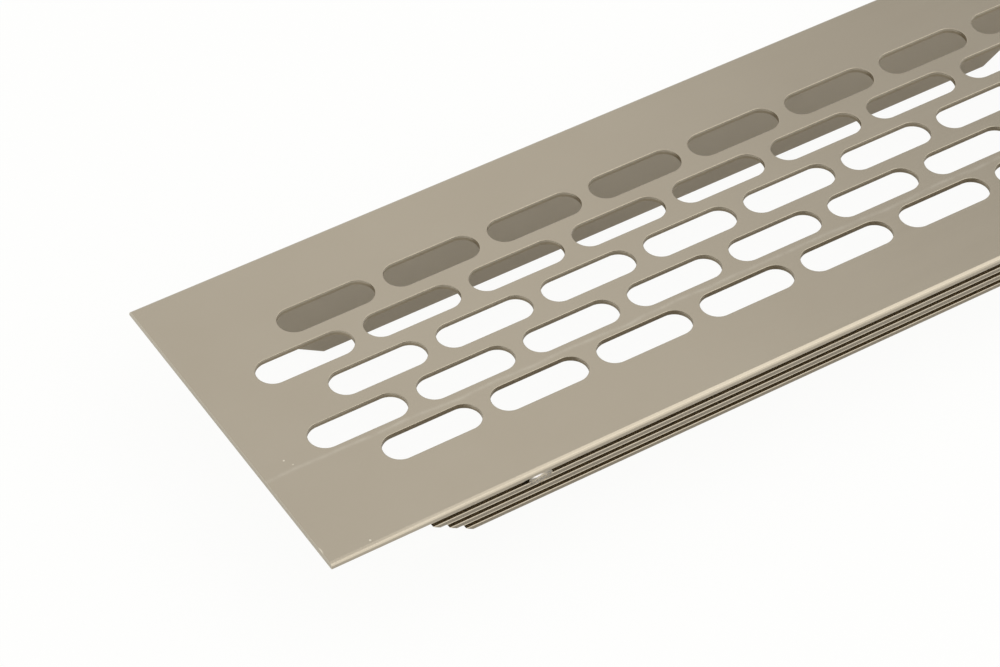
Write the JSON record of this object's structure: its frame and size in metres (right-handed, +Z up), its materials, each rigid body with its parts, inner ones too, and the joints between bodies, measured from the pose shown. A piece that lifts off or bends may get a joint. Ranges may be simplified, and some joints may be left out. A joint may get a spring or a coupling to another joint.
{
  "type": "furniture ventilation grille",
  "caption": "Extruded aluminium ventilation grille: a long flat plate with staggered rounded slots on two ribbed legs that plug into a cut-out.",
  "frame": {"origin": "under the middle of the plate's length and width, at the feet of the two legs", "axes": "+X along the grille, +Y across it towards the edge that the picture shows farther away, +Z up out of the visible face"},
  "size_m": [0.245, 0.08, 0.0213],
  "materials": {
    "anodised_aluminium": "satin, pale champagne anodised"
  },
  "bodies": {
    "root": {"vent_grille": "anodised_aluminium"}
  },
  "joints": []
}
